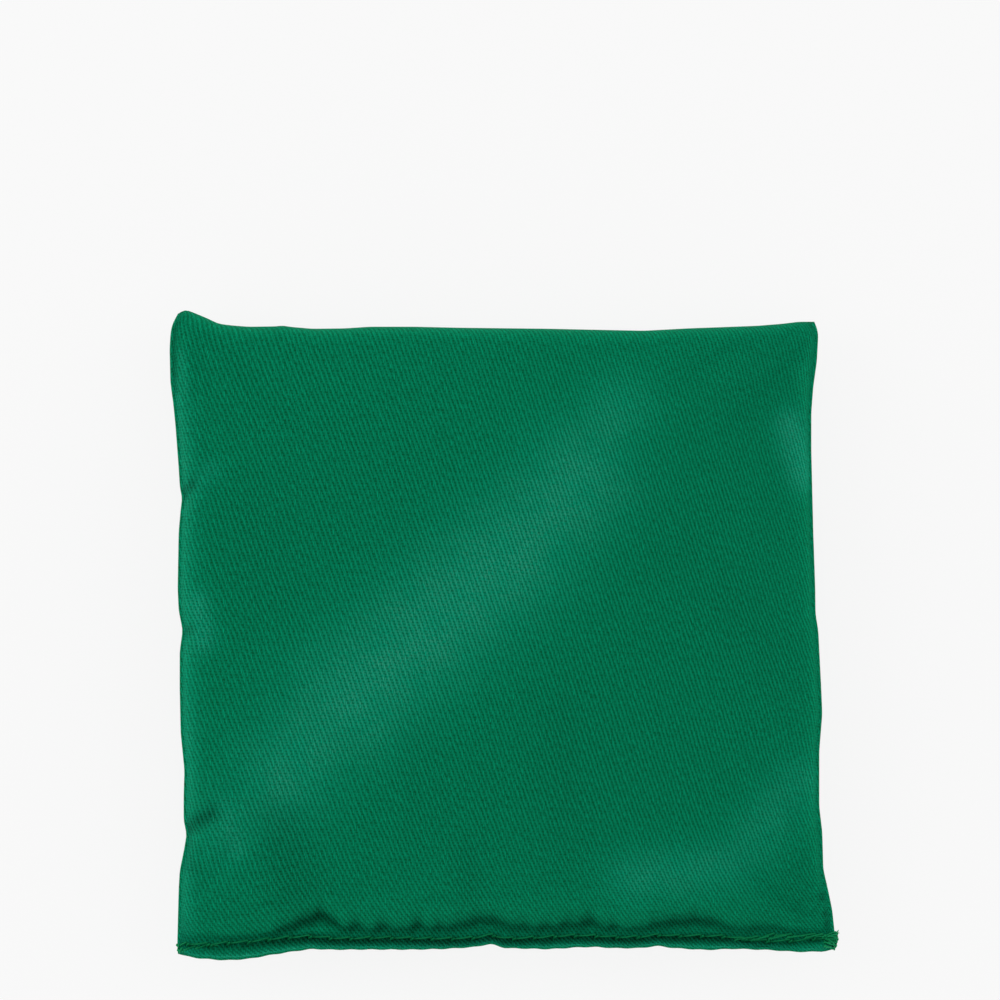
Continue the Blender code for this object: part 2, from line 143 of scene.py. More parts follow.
# Places where puckers over the closing stitches reach up, as (peak, half width to its left, half width to
# its right, height over the lip's clear strip): shares of the cover's width, and the last of its length.
PUCKER_SHARES = (
    (0.107, 0.03, 0.02, 0.004), (0.19, 0.05, 0.04, 0.018), (0.228, 0.055, 0.034, 0.031),
    (0.278, 0.018, 0.02, 0.014), (0.321, 0.016, 0.018, 0.014), (0.348, 0.012, 0.014, 0.006),
    (0.377, 0.018, 0.016, 0.0155), (0.409, 0.016, 0.016, 0.0115), (0.445, 0.04, 0.03, 0.013),
    (0.475, 0.042, 0.034, 0.019), (0.505, 0.03, 0.032, 0.0155), (0.541, 0.015, 0.018, 0.0145),
    (0.574, 0.015, 0.018, 0.0135), (0.607, 0.018, 0.018, 0.015), (0.643, 0.028, 0.026, 0.02),
    (0.679, 0.014, 0.014, 0.012), (0.715, 0.015, 0.016, 0.006), (0.77, 0.06, 0.05, 0.014),
    (0.81, 0.075, 0.055, 0.024), (0.908, 0.05, 0.05, 0.013),
)
# Soft creases in the front, as (start across, start down, end across, end down, half width, depth). The
# places are shares of the cover's width and length from its top left corner.
CREASES = (
    (0.0, 0.276, 0.05, 0.225, 1.6 * MM, 0.9 * MM),
    (0.0, 0.3, 0.035, 0.33, 1.8 * MM, -0.5 * MM),
    (0.0, 0.488, 0.03, 0.5, 1.8 * MM, 0.7 * MM),
    (0.0, 0.812, 0.075, 0.775, 1.9 * MM, 1.3 * MM),
    (0.06, 0.79, 0.09, 0.86, 3 * MM, -0.5 * MM),
    (0.15, 0.83, 0.22, 0.93, 4 * MM, 0.8 * MM),
    (0.0, 0.115, 0.018, 0.02, 1.3 * MM, 1.0 * MM),
    (0.022, 0.11, 0.045, 0.04, 1.4 * MM, -0.45 * MM),
    (0.962, 0.08, 0.985, 0.145, 1.3 * MM, -0.5 * MM),
    (0.985, 0.06, 0.998, 0.14, 1.2 * MM, 0.8 * MM),
    (1.0, 0.2, 0.95, 0.17, 2.5 * MM, 0.5 * MM),
    (1.0, 0.8, 0.94, 0.84, 3 * MM, 0.6 * MM),
    (0.92, 0.9, 1.0, 0.97, 3 * MM, 0.5 * MM),
    (0.455, 0.93, 0.46, 0.83, 3 * MM, 0.35 * MM),
    (0.6, 0.93, 0.605, 0.78, 3.5 * MM, 0.25 * MM),
    (0.36, 0.93, 0.35, 0.8, 3 * MM, 0.2 * MM),
)
CREASE_TAPER_SHARE = 0.8  # of its depth, that a crease has lost at its far end
SIDE_PITCH = 0.75 * MM  # of the mesh's lines across the cover
SEAM_PITCH = 0.36 * MM  # of its lines near the closing seam
FRONT_PITCH = 0.95 * MM  # of its lines up the front
BACK_PITCH = 1.9 * MM  # and up the back
SEAM_ZONE = 12 * MM  # over the lip, in which the lines are as close as SEAM_PITCH
TOP_ZONE = 6 * MM  # under the top fold, in which the lines are twice as close as below it
FOLD_STEPS = 8  # facets round each turned edge

FRONT, BACK = 1, -1
LEFT, RIGHT = -1, 1


def fading(distance, reach):
    """1 at no distance, and softly less over a reach."""
    return np.exp(-((distance / reach) ** 2))


def outward(table):
    """A function that gives an edge's wander at a share along it, rounded over EDGE_BLUR."""
    shares, values = zip(*table)
    fine = np.linspace(0, 1, EDGE_STEPS + 1)
    count = EDGE_BLUR_SPAN * EDGE_BLUR_STEPS
    shifts = np.arange(-count, count + 1) * EDGE_BLUR / EDGE_BLUR_STEPS
    weights = fading(shifts, EDGE_BLUR)
    shifted = [np.interp(fine + shift / COVER_WIDTH, shares, values) for shift in shifts]
    smooth = sum(weight * part for weight, part in zip(weights, shifted)) / weights.sum()
    return lambda share: np.interp(share, fine, smooth)


left_wander = outward(LEFT_EDGE_SHARES)
right_wander = outward(RIGHT_EDGE_SHARES)
top_wander = outward(TOP_EDGE_SHARES)
lip_wander = outward(LIP_EDGE_SHARES)
seam_line_share = outward(SEAM_LINE_SHARES)


def at_hole(across):
    """1 at a needle hole of the closing seam, -1 halfway between two."""
    return np.cos(2 * math.pi * (across - FIRST_HOLE) / STITCH_LENGTH)


def side_distance(across):
    """Distance from the nearer side."""
    return np.minimum(across, COVER_WIDTH - across)


def place(across, along):
    """Plan position of points that far from the left side and up from the lip, with the edges' wander."""
    x_share = np.clip(across / COVER_WIDTH, 0, 1)
    y_share = np.clip(along / COVER_LENGTH, 0, 1)
    sideways = right_wander(1 - y_share) * x_share**EDGE_FADE
    sideways = sideways - left_wander(1 - y_share) * (1 - x_share) ** EDGE_FADE
    upwards = top_wander(x_share) * y_share**EDGE_FADE - lip_wander(x_share) * (1 - y_share) ** EDGE_FADE
    scallop = LIP_SCALLOP * at_hole(across) * fading(along, LIP_WIDTH)
    x = across - COVER_WIDTH / 2 + sideways * COVER_WIDTH
    y = along - COVER_LENGTH / 2 + upwards * COVER_WIDTH + scallop
    return x, y


def climb(distance, wall_share=WALL_SHARE):
    """Share of its full height that a face has reached at a distance from an edge."""
    left = [1 - np.clip(distance / roll, 0, 1) for roll in (WALL_ROLL, EDGE_ROLL)]
    wall, rest = [np.sqrt(1 - part**ROLL_POWER) for part in left]
    return wall_share * wall + (1 - wall_share) * rest


def pucker_height(across):
    """How high the puckers over the closing stitches reach at points that far from the left side."""
    heights = []
    for shift in np.linspace(-PUCKER_BLUR, PUCKER_BLUR, PUCKER_BLUR_STEPS):
        share = (across + shift) / COVER_WIDTH
        powers = (PUCKER_FLOOR / COVER_LENGTH) ** PUCKER_MERGE
        for peak, to_left, to_right, height in PUCKER_SHARES:
            away = np.where(share < peak, (peak - share) / to_left, (share - peak) / to_right)
            powers = powers + (height * np.cos(math.pi / 2 * np.clip(away, 0, 1))) ** PUCKER_MERGE
        heights.append(COVER_LENGTH * powers ** (1 / PUCKER_MERGE))
    short, long = [across / wave for wave in UNEVEN_WAVES]
    return np.mean(heights, axis=0) * (1 + UNEVEN_SHARE * np.sin(short) * np.sin(long + 1))


def clear_of_puckers(across, along):
    """Distance up from where the faces part, which the puckers over the closing stitches hold back."""
    held = pucker_height(across)
    clear = along - LIP_WIDTH - LIP_CLEAR
    clear = clear - held * fading(np.maximum(clear - held, 0), PUCKER_FADE + held)
    clear = np.maximum(clear, 0)
    return clear**3 / (clear + PUCKER_SOFTNESS) ** 2


def fan_height(across, along):
    """How far the cloth between a large pucker and the stitches rises."""
    held = pucker_height(across)
    way = np.clip((along - LIP_WIDTH) / (LIP_CLEAR + held), 0, 1)
    return FAN_PUFF_SHARE * np.maximum(held - FAN_START, 0) * np.sin(math.pi * way)


def stroke(across, along, start, end, half_width):
    """How near points are to a soft stroke between two places, 1 on it, and how far along it they are.

    The places are shares of the cover's width and length, from its top left corner.
    """
    start = np.array((start[0] * COVER_WIDTH, (1 - start[1]) * COVER_LENGTH))
    end = np.array((end[0] * COVER_WIDTH, (1 - end[1]) * COVER_LENGTH))
    run = end - start
    progress = ((across - start[0]) * run[0] + (along - start[1]) * run[1]) / (run @ run)
    progress = np.clip(progress, 0, 1)
    away = np.hypot(across - start[0] - progress * run[0], along - start[1] - progress * run[1])
    return fading(away, half_width), progress


def crease_depth(across, along):
    """Depth of the front's soft creases, each a groove that fades towards its far end."""
    depth = 0
    for x0, y0, x1, y1, half_width, deep in CREASES:
        near, progress = stroke(across, along, (x0, y0), (x1, y1), half_width)
        depth = depth + deep * (1 - CREASE_TAPER_SHARE * progress) * near
    return depth


def groove_bottom(across):
    """Height over the lip's edge of the bottom of the closing stitches' groove."""
    return COVER_WIDTH * seam_line_share(across / COVER_WIDTH) - GROOVE_DROP


def groove_depth(across, along):
    """How far the closing stitches press a face in, most at their needle holes, less the lip's own puff."""
    bottom = groove_bottom(across)
    pull = 1 + HOLE_PULL_SHARE * at_hole(across)
    depth = GROOVE_DEPTH * pull * fading(along - bottom, GROOVE_HALF_WIDTH)
    puff = LIP_PUFF * np.sin(math.pi * np.clip(along / bottom, 0, 1))
    return (depth - puff) * np.clip(side_distance(across) / LIP_WIDTH, 0, 1)


def lump_height(x, y, face):
    """How far the grains behind the cloth press it out at each point."""
    spots = zip((x / GRAIN_SPAN).flat, (y / GRAIN_SPAN).flat, np.broadcast_to(face, x.shape).flat)
    heights = [noise.noise(spot) for spot in spots]
    return GRAIN_LUMP * np.reshape(heights, x.shape)


def fold_level(along):
    """Height over the seams' plane of a face's outer side where it is turned in."""
    drawn = np.clip((along - LIP_WIDTH) / LIP_CLEAR - 1, 0, 1)
    off = CLOTH_GAP / 2 + LIP_FOLD_HEIGHT + (SIDE_FOLD_HEIGHT - LIP_FOLD_HEIGHT) * drawn
    return off * np.sqrt(1 - np.clip(1 - (COVER_LENGTH - along) / TOP_ROUNDING, 0, 1) ** 2)


def swell(across, along):
    """Share of its full height that a face has at a point, with all four edges drawing it in."""
    inset = SIDE_FOLD_HEIGHT / 2
    over = climb(across - inset) * climb(COVER_WIDTH - across - inset)
    return over * climb(clear_of_puckers(across, along), LIP_WALL_SHARE) * climb(COVER_LENGTH - along)


def half_circle(height):
    """(inset, lift) round a turned edge of that height, from the turned-in side to the outer side."""
    turns = [math.pi * step / FOLD_STEPS for step in range(FOLD_STEPS + 1)]
    return [(height / 2 * (1 - math.sin(turn)), (1 - math.cos(turn)) / 2) for turn in turns]


def evenly(start, end, pitch):
    """Places after start up to end, about a pitch apart and an even number of them."""
    count = 2 * max(round((end - start) / pitch / 2), 1)
    return [start + (end - start) * (step + 1) / count for step in range(count)]


def cover_columns():
    """Arrays of (side, inset from that side, lift) of the mesh's lines that run from lip to lip."""
    half = [(ALLOWANCE_WIDTH, 0)] + half_circle(SIDE_FOLD_HEIGHT)
    half += [(inset, 1) for inset in evenly(SIDE_FOLD_HEIGHT / 2, COVER_WIDTH / 2, SIDE_PITCH)]
    left = [(LEFT, inset, lift) for inset, lift in half]
    right = [(RIGHT, inset, lift) for inset, lift in reversed(half[:-1])]
    return np.array(left + right).T


def cover_rows():
    """Arrays of (face, height over the lip, lift) of the mesh's lines that run across, from hem to hem."""
    rows = []
    for face, pitch, near in ((FRONT, FRONT_PITCH, SEAM_PITCH), (BACK, BACK_PITCH, 2 * SEAM_PITCH)):
        half = [(HEM_WIDTH, 0)] + half_circle(LIP_FOLD_HEIGHT)
        heights = evenly(LIP_FOLD_HEIGHT / 2, SEAM_ZONE, near)
        heights += evenly(SEAM_ZONE, COVER_LENGTH - TOP_ZONE, pitch)
        heights += evenly(COVER_LENGTH - TOP_ZONE, COVER_LENGTH, pitch / 2)
        half += [(height, 1) for height in heights]
        rows.append([(face, along, lift) for along, lift in half])
    front, back = rows
    return np.array(front + back[-2::-1]).T


def cover_grid(columns, rows):
    """Distances across and along, face and lift of each crossing of the lines, and which are cut off.

    The turned-in cloth is mitred at the lip's corners, where allowance and hem would lie on each other.
    """
    side, inset, side_lift = columns[:, None, :]
    face, along, lip_lift = rows[:, :, None]
    shape = (rows.shape[1], columns.shape[1])
    allowance_end = (side_lift == 0) & (inset > SIDE_FOLD_HEIGHT)
    hem_end = (lip_lift == 0) & (along > LIP_FOLD_HEIGHT)
    mitred_inset = np.where(allowance_end, np.minimum(inset, along - MITRE_GAP), inset)
    along = np.where(hem_end, np.minimum(along, inset - MITRE_GAP), along)
    across = np.where(side == LEFT, mitred_inset, COVER_WIDTH - mitred_inset)
    cut = (side_lift < 0.5) & (lip_lift < 0.5)
    cut = cut | (allowance_end & ((mitred_inset < SIDE_FOLD_HEIGHT) | (lip_lift < 1)))
    cut = cut | (hem_end & ((along < LIP_FOLD_HEIGHT) | (side_lift < 1)))
    cut = cut | (allowance_end & (along > COVER_LENGTH - TOP_CLIP))
    cut = cut | ((side_lift < TURNED_LIFT) & (along > COVER_LENGTH - TOP_ROUNDING / 2))
    lift = np.minimum(side_lift, lip_lift)
    return [np.broadcast_to(part, shape) for part in (across, along, face, lift, cut)]


def cover_points(across, along, face, lift):
    """Positions of the cover's outer side before its filling presses it."""
    x, y = place(across, along)
    over = swell(across, along)
    closed = np.clip(2 - 2 * (COVER_LENGTH - along) / TOP_ROUNDING, 0, 1)
    gap = CLOTH_GAP / 2 * (1 - closed)
    turned = gap + (fold_level(along) - gap) * np.maximum(lift - closed * (1 - lift), 0)
    outer = lift == 1
    turned = turned + (fan_height(across, along) - groove_depth(across, along)) * outer
    loose = np.clip(LUMP_GAIN * over, 0, 1)
    lumps = lump_height(x, y, face) * loose
    creases = crease_depth(across, along) * loose
    front = SEAM_HEIGHT + turned + (CROWN_HEIGHT * over + lumps - creases) * outer
    back = SEAM_HEIGHT - turned - (BELLY_DEPTH * over + lumps) * outer
    return np.stack((x, y, np.maximum(np.where(face == FRONT, front, back), 0)), axis=-1)


def laid_flat(points, face, lift):
    """How far each point lies along the weft and along the warp of the cloth, from the middle of the front.

    The puckers don't count: every line has the length that most of it has.
    """
    weftwise = np.linalg.norm(np.diff(points, axis=1, prepend=points[:, :1]), axis=2)
    warpwise = np.linalg.norm(np.diff(points, axis=0, prepend=points[:1]), axis=2)
    u = np.median(weftwise, axis=0).cumsum()
    v = np.median(warpwise, axis=1).cumsum()
    middle_column = len(u) // 2
    front_rows = np.flatnonzero((face[:, middle_column] == FRONT) & (lift[:, middle_column] == 1))
    return np.meshgrid(u - u[middle_column], v - v[front_rows[len(front_rows) // 2]])


def add_object(name, data):
    """A new object of that data, in the scene."""
    thing = bpy.data.objects.new(name, data)
    bpy.context.scene.collection.objects.link(thing)
    return thing


def add_sheet(name, points, cut):
    """A sheet of quads through rows of points, without those that are cut off."""
    count_along, count_across = cut.shape
    mesh = bmesh.new()
    bmesh.ops.create_grid(mesh, x_segments=count_across - 1, y_segments=count_along - 1, size=1)
    sheet = add_object(name, bpy.data.meshes.new(name))
    for vert, position in zip(mesh.verts, points.reshape(-1, 3)):
        vert.co = position
    gone = [vert for vert, is_cut in zip(mesh.verts, cut.flat) if is_cut]
    bmesh.ops.delete(mesh, geom=gone, context="VERTS")
    mesh.to_mesh(sheet.data)
    mesh.free()
    return sheet


columns, rows = cover_columns(), cover_rows()
across, along, face, lift, cut = cover_grid(columns, rows)
points = cover_points(across, along, face, lift)

# The filling presses the cover out for a moment in Blender's cloth solver, with its sewn edges held. By the
# seams the cloth is a little too long for them, which gives the soft wrinkles that run in from the edges.

SIM_SCALE = 10  # the cloth solver is tuned for things about a metre across
SIM_STEPS = 20
SLACK_SHARE = 0.025  # how much longer the cloth is by the seams
SLACK_REACH = 25 * MM  # how far in from them
SEWN_REACH = 3 * MM  # from an edge, up to which the cloth is held
CLOTH_SETTINGS = {
    "quality": 6, "mass": 0.3, "tension_stiffness": 30, "compression_stiffness": 30, "shear_stiffness": 10,
    "bending_stiffness": 0.4, "air_damping": 2, "shrink_min": 0, "shrink_max": -SLACK_SHARE,
    "use_pressure": True, "uniform_pressure_force": 0.3,
}


def add_weights(thing, name, weights):
    """Name of a new vertex group of a thing with those weights."""
    group = thing.vertex_groups.new(name=name)
    for index, weight in enumerate(weights):
        group.add([index], float(weight), "REPLACE")
    return group.name


def filled_out(points, cut, sewn, slack):
    """Points of the sheet after its filling has pressed it out for a moment, with its sewn edges held."""
    sheet = add_sheet("cover_pressed", points * SIM_SCALE, cut)
    kept = ~cut.ravel()
    cloth = sheet.modifiers.new("filling pressure", "CLOTH")
    settings = cloth.settings
    for name, value in CLOTH_SETTINGS.items():
        setattr(settings, name, value)
    settings.vertex_group_mass = add_weights(sheet, "sewn", sewn.ravel()[kept])
    settings.vertex_group_shrink = add_weights(sheet, "slack", slack.ravel()[kept])
    settings.effector_weights.gravity = 0
    scene = bpy.context.scene
    for step in range(1, SIM_STEPS + 1):
        scene.frame_set(step)
    evaluated = sheet.evaluated_get(bpy.context.evaluated_depsgraph_get())
    flat = np.empty(3 * len(evaluated.data.vertices), np.float32)
    evaluated.data.vertices.foreach_get("co", flat)
    pressed = points.copy()
    pressed.reshape(-1, 3)[kept] = flat.reshape(-1, 3) / SIM_SCALE
    scene.frame_set(1)
    bpy.data.objects.remove(sheet)
    return pressed


def between_lines(moves, shape):
    """Moves of every line of a grid of that shape, from those of every second line."""
    full = np.repeat(np.repeat(moves, 2, axis=0), 2, axis=1)[: shape[0], : shape[1]]
    full[1:-1:2] = (full[:-2:2] + full[2::2]) / 2
    full[:, 1:-1:2] = (full[:, :-2:2] + full[:, 2::2]) / 2
    return full


from_side = side_distance(across)
from_edge = np.min((from_side, along - LIP_WIDTH, COVER_LENGTH - along), axis=0)
sewn = np.where(lift < 1, 1, np.clip(SEWN_REACH / np.maximum(from_edge, MITRE_GAP) - 1, 0, 1))
slack = np.maximum(np.exp(-from_side / SLACK_REACH), np.exp(-along / SLACK_REACH))
slack = slack * np.clip((COVER_LENGTH - along) / SLACK_REACH, 0, 1)
every_second = (slice(None, None, 2), slice(None, None, 2))
start = points[every_second]
pressed = filled_out(start, cut[every_second], sewn[every_second], slack[every_second])
points = points + between_lines(pressed - start, cut.shape)
points[..., 2] = np.maximum(points[..., 2], 0)

cover = add_sheet("cover_cloth", points, cut)
cloth = cover.modifiers.new("cloth thickness", "SOLIDIFY")
cloth.thickness = CLOTH_THICKNESS
cloth.offset = -1
cover.data.shade_smooth()

# The drill's yarns are woven 3 over 1, with ribs that run down to the right. The cloth was cut a little off
# its grain, and it is stretched more towards the upper right corner, so that its yarns bow there.

END_PITCH = 0.235 * MM  # from one warp yarn to the next
PICK_PITCH = 0.563 * MM  # from one weft yarn to the next
FLOAT_PICKS = 3  # weft yarns that a warp yarn passes over, before it goes under one
GRAIN_TILT = 0.056  # slope of the weft yarns in the middle of the front
GRAIN_BOW = 0.0004 / MM  # by which that slope grows across the cloth
CORNER_BOW = 0.00002 / MM**2  # by which it grows more towards the upper right corner
WARP_SPREAD = 0.00093 / MM  # how much closer the warp yarns lie further to the right
SEAM_DRAG_SHARE = 0.6  # slope of the warp yarns at the lip, where the machine dragged the cloth along
DRAG_REACH = 9 * MM  # over which that dies out

# Painted highlights on the front, where the light falls as a hazy band along the crown and in patches by
# the left edge, as strokes of (start across, start down, end across, end down, half width, strength). The
# places are shares of the cover's width and length.
HIGHLIGHT_STROKES = (
    (0.06, 0.80, 0.16, 0.71, 9 * MM, 0.45),
    (0.165, 0.715, 0.265, 0.595, 11 * MM, 0.75),
    (0.27, 0.595, 0.39, 0.485, 13 * MM, 0.95),
    (0.39, 0.485, 0.53, 0.355, 13 * MM, 1.0),
    (0.53, 0.355, 0.63, 0.24, 12 * MM, 0.9),
    (0.62, 0.24, 0.69, 0.13, 8 * MM, 0.6),
    (0.71, 0.885, 0.86, 0.86, 6 * MM, 0.65),
    (0.86, 0.865, 0.965, 0.73, 6 * MM, 0.5),
    (0.965, 0.16, 0.985, 0.24, 3.5 * MM, 0.9),
    (0.025, 0.262, 0.05, 0.23, 2.5 * MM, 0.45),
    (0.028, 0.44, 0.034, 0.5, 3 * MM, 0.8),
    (0.07, 0.765, 0.085, 0.83, 3.2 * MM, 0.65),
    (0.018, 0.06, 0.022, 0.115, 0.9 * MM, 0.5),
)
# Painted highlights along the lip's edge and down the left edge.
LIP_HIGHLIGHT_SHARE = 1.1  # strength at the lip's edge
LIP_HIGHLIGHT_REACH = 1.1 * MM  # from that edge, over which it dies out
SIDE_HIGHLIGHT_SHARE = 0.6  # strength at the left edge
SIDE_HIGHLIGHT_REACH = 3.4 * MM
SIDE_HIGHLIGHT_START = 8 * MM  # from the top fold

# Painted shade on the front: faint shadows over it, and darker shade in the notches and folds by its edges
# and at the right edge's needle holes, as strokes like those.
PAINTED_SHADOWS = (
    (0.16, 0.79, 0.19, 0.9, 5.5 * MM, 0.27),
    (0.372, 0.66, 0.38, 0.78, 4 * MM, 0.07),
    (0.452, 0.84, 0.46, 0.94, 3.2 * MM, 0.17),
    (0.598, 0.62, 0.606, 0.86, 4.5 * MM, 0.08),
    (0.12, 0.3, 0.14, 0.42, 8 * MM, 0.09),
    (0.86, 0.44, 0.95, 0.54, 6 * MM, 0.09),
    (0.7, 0.24, 0.78, 0.34, 7 * MM, 0.05),
    (0.0, 0.803, 0.045, 0.775, 1.6 * MM, 0.75),
    (0.0, 0.825, 0.015, 0.86, 2 * MM, 0.35),
    (0.0, 0.275, 0.022, 0.255, 1.1 * MM, 0.7),
    (0.0, 0.488, 0.014, 0.485, 1.1 * MM, 0.6),
    (0.003, 0.02, 0.004, 0.11, 1.3 * MM, 0.55),
    (0.95, 0.93, 0.965, 0.86, 3 * MM, 0.12),
    (0.9895, 0.91, 0.9895, 0.916, 0.55 * MM, 1),
    (0.991, 0.938, 0.991, 0.943, 0.55 * MM, 1),
    (0.9905, 0.953, 0.9905, 0.957, 0.5 * MM, 0.9),
    (0.99, 0.9, 0.991, 0.965, 0.5 * MM, 0.35),
)
GROOVE_SHADE_REACH = 0.8 * MM  # from the bottom of the stitches' groove, over which shade is painted on the cloth
GROOVE_SHADE_FADE = 22 * MM  # from the sides, over which that painted shade grows to its full strength
CREASE_SHARE = 0.66  # of the groove's painted shade, that is painted at the top of a pucker
CREASE_START = 1.3 * MM  # height of a pucker, from which on it is as dark as that
CREASE_SLANT = 0.35  # by which it is darker where a pucker rises to the right, and less where it falls
CREASE_REACH_UP = 2.3 * MM  # from the top of a pucker, over which shade is painted above it
CREASE_REACH_DOWN = 1.3 * MM  # and below it


def stroke_strengths(strokes, across, along):
    """Strength at each point of each stroke of a table."""
    strengths = []
    for x0, y0, x1, y1, half_width, strength in strokes:
        near, _ = stroke(across, along, (x0, y0), (x1, y1), half_width)
        strengths.append(strength * near)
    return strengths


def painted_highlight_strength(across, along):
    """How strong the painted highlight is at each point of the front, where 1 is strong."""
    by_lip = LIP_HIGHLIGHT_SHARE * fading(along, LIP_HIGHLIGHT_REACH)
    below_corner = np.clip((COVER_LENGTH - along) / SIDE_HIGHLIGHT_START - 1, 0, 1)
    by_side = SIDE_HIGHLIGHT_SHARE * below_corner * fading(across, SIDE_HIGHLIGHT_REACH)
    return np.max((*stroke_strengths(HIGHLIGHT_STROKES, across, along), by_lip, by_side), axis=0)


def painted_shade_strength(across, along):
    """Strength of the painted shade at each point of the front: in the groove, at the puckers and in
    shadows, 0 to 1.
    """
    inwards = np.clip(side_distance(across) / GROOVE_SHADE_FADE, 0, 1)
    groove = inwards * fading(along - groove_bottom(across), GROOVE_SHADE_REACH)
    held = pucker_height(across)
    slope = (pucker_height(across + PUCKER_BLUR) - pucker_height(across - PUCKER_BLUR)) / PUCKER_BLUR
    slant = 1 + CREASE_SLANT * np.clip(slope, -1, 1)
    top = LIP_WIDTH + LIP_CLEAR + held
    reach = np.where(along > top, CREASE_REACH_UP, CREASE_REACH_DOWN)
    dark = CREASE_SHARE * inwards * slant * np.clip(held / CREASE_START, 0, 1)
    crease = dark * fading(along - top, reach)
    return np.max((groove, crease, *stroke_strengths(PAINTED_SHADOWS, across, along)), axis=0)


def add_weave_map(sheet, u, v):
    """A UV map that gives each point's distance along the weft and along the warp, in metres."""
    along_weft = u + WARP_SPREAD * u**2 - GRAIN_TILT * v
    corner_bow = CORNER_BOW * np.maximum(u, 0) ** 2 * np.clip(v, 0, COVER_LENGTH / 2)
    along_warp = v + GRAIN_TILT * u + GRAIN_BOW * u**2 + corner_bow
    layer = sheet.data.uv_layers.new(name="Weave")
    corners = np.empty(len(sheet.data.loops), np.int32)
    sheet.data.loops.foreach_get("vertex_index", corners)
    layer.data.foreach_set("uv", np.stack((along_weft, along_warp), axis=-1)[corners].ravel())


def linear(code):
    """Linear colour with alpha from an sRGB hex code."""
    channels = [int(code[start : start + 2], 16) / 255 for start in (1, 3, 5)]
    return (*[c / 12.92 if c <= 0.04045 else ((c + 0.055) / 1.055) ** 2.4 for c in channels], 1)


def add_node(tree, kind, inputs=(), **settings):
    """First output of a new shader node with those settings, its inputs set or linked by name or number."""
    node = tree.nodes.new("ShaderNode" + kind)
    for name, value in settings.items():
        setattr(node, name, value)
    for key, value in dict(inputs).items():
        if isinstance(value, bpy.types.NodeSocket):
            tree.links.new(value, node.inputs[key])
        else:
            node.inputs[key].default_value = value
    return node.outputs[0]


def new_material(name, finish):
    """A material of that name, its node tree and its Principled BSDF shader, which has that finish."""
    material = bpy.data.materials.new(name)
    material.use_nodes = True
    shader = material.node_tree.nodes["Principled BSDF"]
    for key, value in finish.items():
        shader.inputs[key].default_value = value
    return material, material.node_tree, shader


# Painted light and shade of the yarns: darker green between the warp floats, where shade falls, and lighter
# on top.
DRILL_SHADED_GREEN = "#004a2a"  # between the warp floats
DRILL_LIT_GREEN = "#00956b"  # on top of them
NAP_COLOUR = "#0ba070"  # of the sheen that its fibres have, seen at a slant
# Painted highlights, laid over the green where the attribute for them is set.
FLOAT_HIGHLIGHT_COLOUR = "#00a280"
FLOAT_HIGHLIGHT_SHARE = 0.85  # of that colour at the most
HAZE_HIGHLIGHT_COLOUR = "#62a896"
HAZE_HIGHLIGHT_SHARE = 0.42  # of that colour at the most
HAZE_HIGHLIGHT_POWER = 1.6  # by which it shows less where the painted highlight is weak
HIGHLIGHT_PATCH = 7 * MM  # from one patch of the painted highlight to the next
HIGHLIGHT_PATCH_GAIN, HIGHLIGHT_PATCH_OFFSET = 1.6, -0.2  # of the patches, from noise
FLECK_SCALE = 0.9  # flecks of the painted highlight to a yarn
FLECK_GAIN, FLECK_OFFSET = 4, -1.5  # of the flecks, from noise
# Painted shade in the stitches' groove, over the puckers and in faint shadows.
PAINTED_SHADE_COLOUR = "#001608"
PAINTED_SHADE_SHARE = 0.88  # of that colour at the most, between the warp floats in the folds
PAINTED_SHADE_LIFT_SHARE = 0.66  # of that share, that is missing on top of the floats
YARN_RELIEF = 0.14 * MM
YARN_WANDER = (2.2, 0.8, 0)  # in yarns, how wide the bands are in which warp and weft yarns stray
YARN_WANDER_SCALE = 0.3  # waves of that to a yarn
FLOAT_POWER = 0.5  # by which a float's arch is fuller than a sine
WEFT_RELIEF_SHARE = 0.35  # of the relief, that the weft yarns have
DYE_SCALE = 0.6  # lighter and darker places to a yarn
DYE_SPREAD_SHARE = 0.8  # of the way between the two greens, over which those places spread
DRILL_FINISH = {
    "Roughness": 0.85, "Specular IOR Level": 0.03, "Sheen Weight": 0.18, "Sheen Roughness": 0.5,
    "Sheen Tint": linear(NAP_COLOUR),
}


